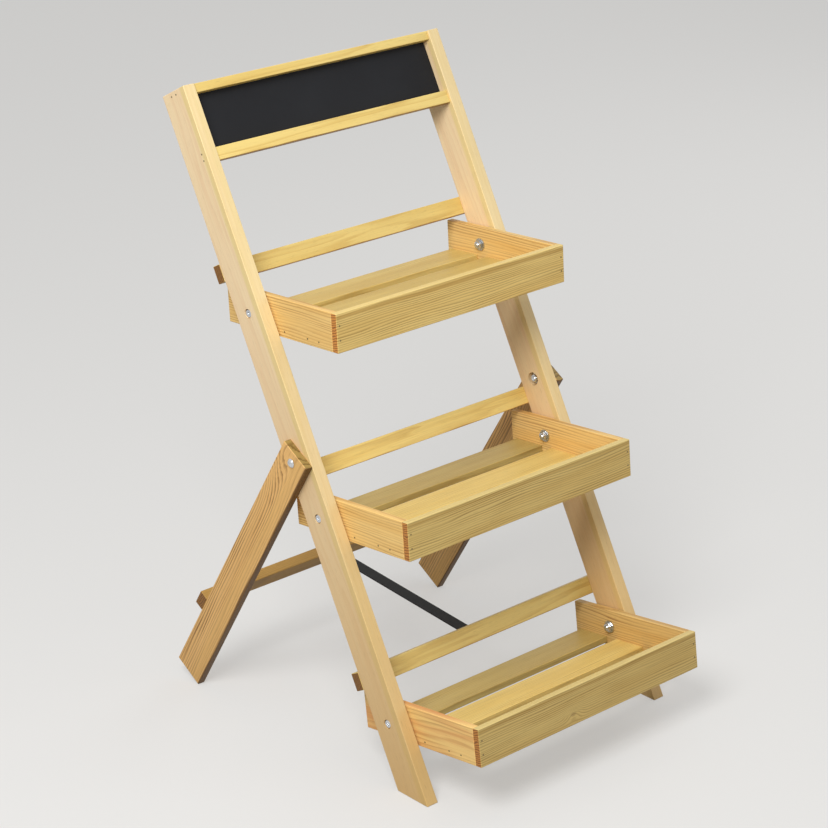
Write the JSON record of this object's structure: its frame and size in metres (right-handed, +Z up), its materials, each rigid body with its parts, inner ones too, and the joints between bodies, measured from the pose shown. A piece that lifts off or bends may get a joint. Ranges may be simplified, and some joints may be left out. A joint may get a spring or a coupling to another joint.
{
  "type": "tiered plant stand",
  "caption": "Folding wooden plant stand: leaning side boards carry tilting slatted trays, and hinged rear legs held by a webbing strap prop it up.",
  "frame": {"origin": "on the floor, under the centre of the bounding box", "axes": "+X to the right seen from the front, trays open toward -Y, +Z up from the floor"},
  "size_m": [0.4686, 0.5802, 0.8477],
  "materials": {
    "upright_pine": "planed softwood under clear varnish",
    "rail_pine": "planed softwood rail under clear varnish",
    "tray_pine": "planed softwood board under clear varnish",
    "slat_pine": "planed softwood slat under clear varnish",
    "leg_pine": "planed softwood with strong brown grain under clear varnish",
    "chalkboard": "hardboard with matte black chalkboard paint",
    "webbing": "flat woven polypropylene webbing",
    "zinc_steel": "bright zinc plated steel"
  },
  "bodies": {
    "leaning_frame": {"upright_left": "upright_pine", "upright_right": "upright_pine", "top_rail": "rail_pine", "board_rail": "rail_pine", "chalkboard_panel": "chalkboard", "frame_nails": "zinc_steel", "stop_rail_nails": "zinc_steel", "stop_rail_top": "rail_pine", "tray_top_pivot_bolts": "zinc_steel", "tray_top_pivot_washers": "zinc_steel", "tray_top_pivot_nuts": "zinc_steel", "stop_rail_middle": "rail_pine", "tray_middle_pivot_bolts": "zinc_steel", "tray_middle_pivot_washers": "zinc_steel", "tray_middle_pivot_nuts": "zinc_steel", "stop_rail_bottom": "rail_pine", "tray_bottom_pivot_bolts": "zinc_steel", "tray_bottom_pivot_washers": "zinc_steel", "tray_bottom_pivot_nuts": "zinc_steel", "leg_pivot_bolts": "zinc_steel", "leg_pivot_washers": "zinc_steel", "leg_pivot_nuts": "zinc_steel", "spread_strap": "webbing", "strap_tacks_front": "zinc_steel"},
    "top_tray": {"tray_top_front": "tray_pine", "tray_top_side_left": "tray_pine", "tray_top_side_right": "tray_pine", "tray_top_slat_front": "slat_pine", "tray_top_slat_middle": "slat_pine", "tray_top_slat_rear": "slat_pine", "tray_top_nails": "zinc_steel"},
    "middle_tray": {"tray_middle_front": "tray_pine", "tray_middle_side_left": "tray_pine", "tray_middle_side_right": "tray_pine", "tray_middle_slat_front": "slat_pine", "tray_middle_slat_middle": "slat_pine", "tray_middle_slat_rear": "slat_pine", "tray_middle_nails": "zinc_steel"},
    "bottom_tray": {"tray_bottom_front": "tray_pine", "tray_bottom_side_left": "tray_pine", "tray_bottom_side_right": "tray_pine", "tray_bottom_slat_front": "slat_pine", "tray_bottom_slat_middle": "slat_pine", "tray_bottom_slat_rear": "slat_pine", "tray_bottom_nails": "zinc_steel"},
    "rear_frame": {"rear_leg_left": "leg_pine", "rear_leg_right": "leg_pine", "rear_crossbar": "rail_pine", "crossbar_nails": "zinc_steel", "strap_tacks_rear": "zinc_steel"}
  },
  "joints": [
    {"name": "top_tray_tilt", "type": "hinge", "parent": "leaning_frame", "child": "top_tray", "pos_m": [0, 0.12596, 0.5738], "axis": [-1, 0, 0], "range_deg": [-4.2, 114.3]},
    {"name": "middle_tray_tilt", "type": "hinge", "parent": "leaning_frame", "child": "middle_tray", "pos_m": [0, -0.00573, 0.33125], "axis": [-1, 0, 0], "range_deg": [-5.5, 113]},
    {"name": "bottom_tray_tilt", "type": "hinge", "parent": "leaning_frame", "child": "bottom_tray", "pos_m": [0, -0.13743, 0.0887], "axis": [-1, 0, 0], "range_deg": [-8, 110.5]},
    {"name": "rear_frame_fold", "type": "hinge", "parent": "leaning_frame", "child": "rear_frame", "pos_m": [0, 0.03172, 0.40024], "axis": [-1, 0, 0], "range_deg": [0, 51], "deforming": ["spread_strap"]}
  ]
}
